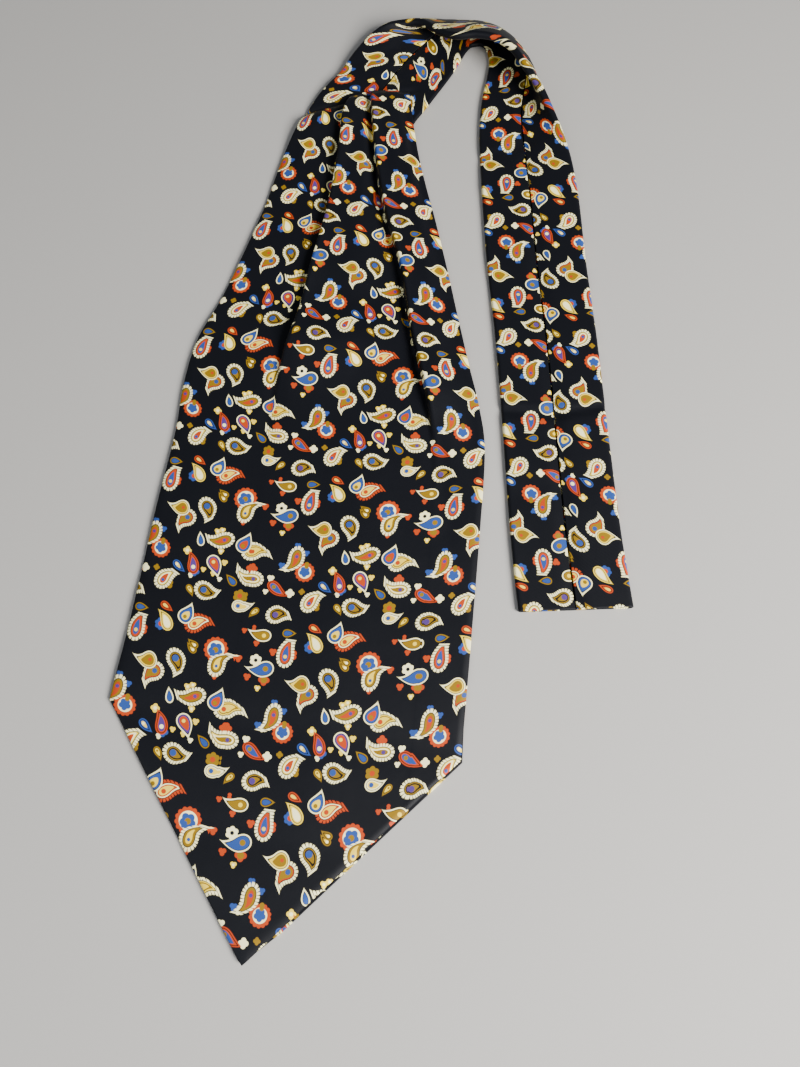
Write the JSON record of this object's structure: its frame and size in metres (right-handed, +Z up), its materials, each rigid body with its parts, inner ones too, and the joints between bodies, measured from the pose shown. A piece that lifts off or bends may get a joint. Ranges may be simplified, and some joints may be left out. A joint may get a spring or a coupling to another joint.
{
  "type": "silk cravat",
  "caption": "Silk cravat laid flat: a pleated pointed blade on a folded neck band that turns back and lies beside it.",
  "frame": {"origin": "middle of the laid cravat's outline box, on the surface that it lies on", "axes": "+Z up from the surface, +Y along the blade from its point to the turn of the neck band, +X from the blade to the band's tail"},
  "size_m": [0.2518, 0.5356, 0.0233],
  "materials": {
    "silk": "printed silk twill, soft sheen"
  },
  "bodies": {
    "root": {"blade_facing": "silk", "blade_front": "silk", "band_stretch": "silk", "band_turn": "silk", "band_tail": "silk"}
  },
  "joints": []
}
